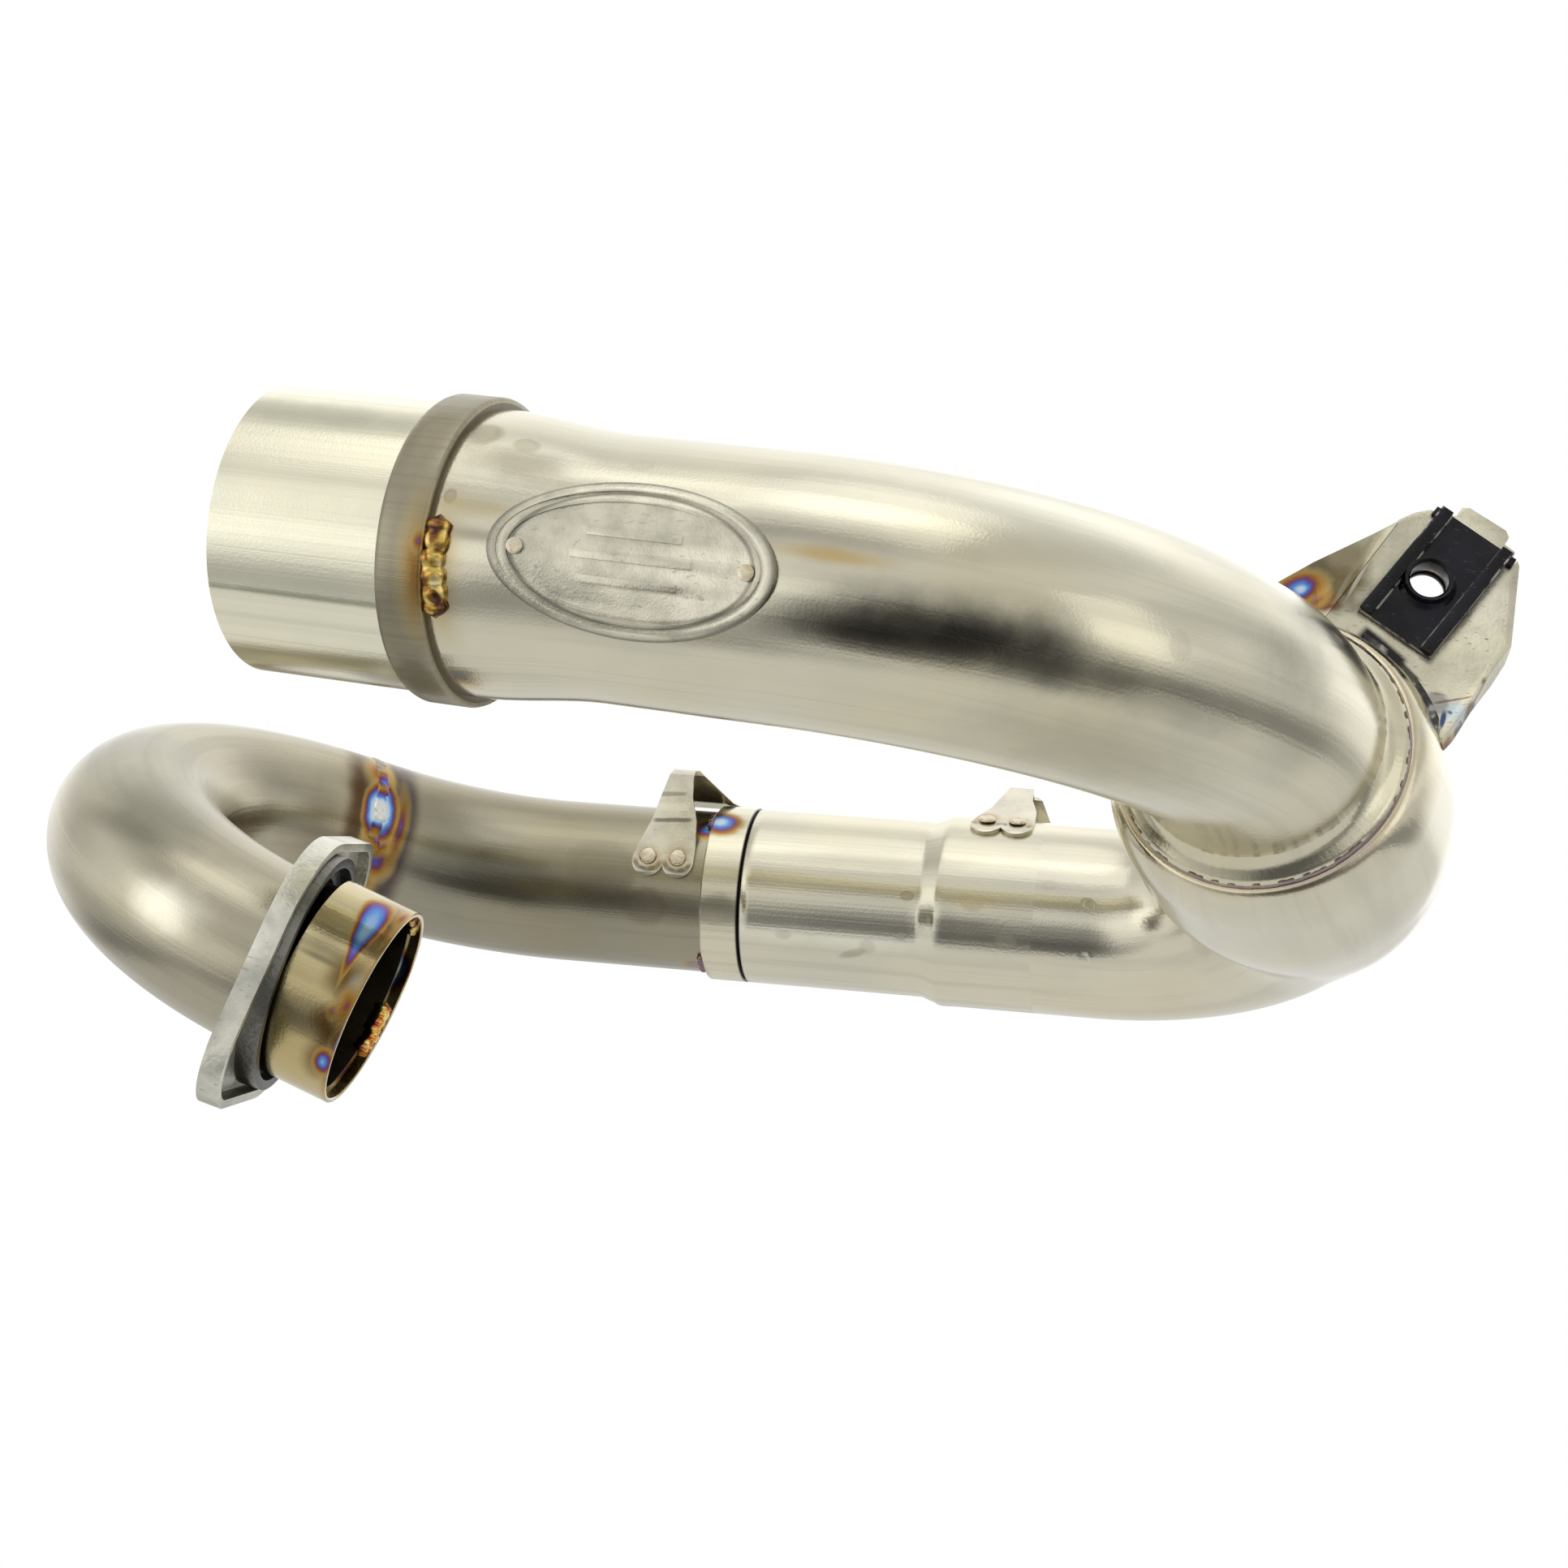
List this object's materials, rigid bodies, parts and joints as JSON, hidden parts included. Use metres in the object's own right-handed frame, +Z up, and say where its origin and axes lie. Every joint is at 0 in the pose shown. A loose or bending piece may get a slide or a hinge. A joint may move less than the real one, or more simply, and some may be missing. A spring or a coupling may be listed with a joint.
{
  "type": "motorcycle exhaust header",
  "caption": "Bent exhaust header with slip joint, resonance chamber, flared outlet, loose oval port flange, spring hooks and a frame bracket with a clip nut.",
  "frame": {"origin": "centre of the port collar's open mouth", "axes": "+X forward (right in the picture), +Y away from the viewer (the left side of the machine), +Z up; the collar points 24.5 degrees below +X"},
  "size_m": [0.3693, 0.2391, 0.1699],
  "materials": {
    "tube": "brushed, heat tinted at the welds",
    "dark_tube": "satin, brown heat tint",
    "bright_tube": "finely brushed, bright",
    "flange": "matt, cut edges",
    "weld": "weld bead with gold, purple and blue tint",
    "clip": "glossy black coating"
  },
  "bodies": {
    "header": {"port_spigot": "tube", "spigot_weld": "weld", "port_bend": "dark_tube", "front_weld": "weld", "link_tube": "dark_tube", "slip_collar": "bright_tube", "collar_tacks": "weld", "front_spring_hook": "tube", "front_hook_welds": "weld", "mid_tube": "tube", "mid_spring_hook": "tube", "mid_hook_welds": "weld", "inlet_weld": "weld", "chamber_shell": "tube", "chamber_seam": "weld", "tail_tube": "tube", "badge_plate": "tube", "badge_welds": "weld", "outlet_band": "dark_tube", "band_weld": "weld", "outlet_tube": "bright_tube", "mount_bracket": "tube", "bracket_welds": "weld", "clip_nut": "clip"},
    "flange": {"port_flange": "flange"}
  },
  "joints": [
    {"name": "port_flange_turn", "type": "hinge", "parent": "header", "child": "flange", "pos_m": [-0.01865, 0, 0.0085], "axis": [0.9422, 0.0297, -0.3337], "continuous": true}
  ]
}
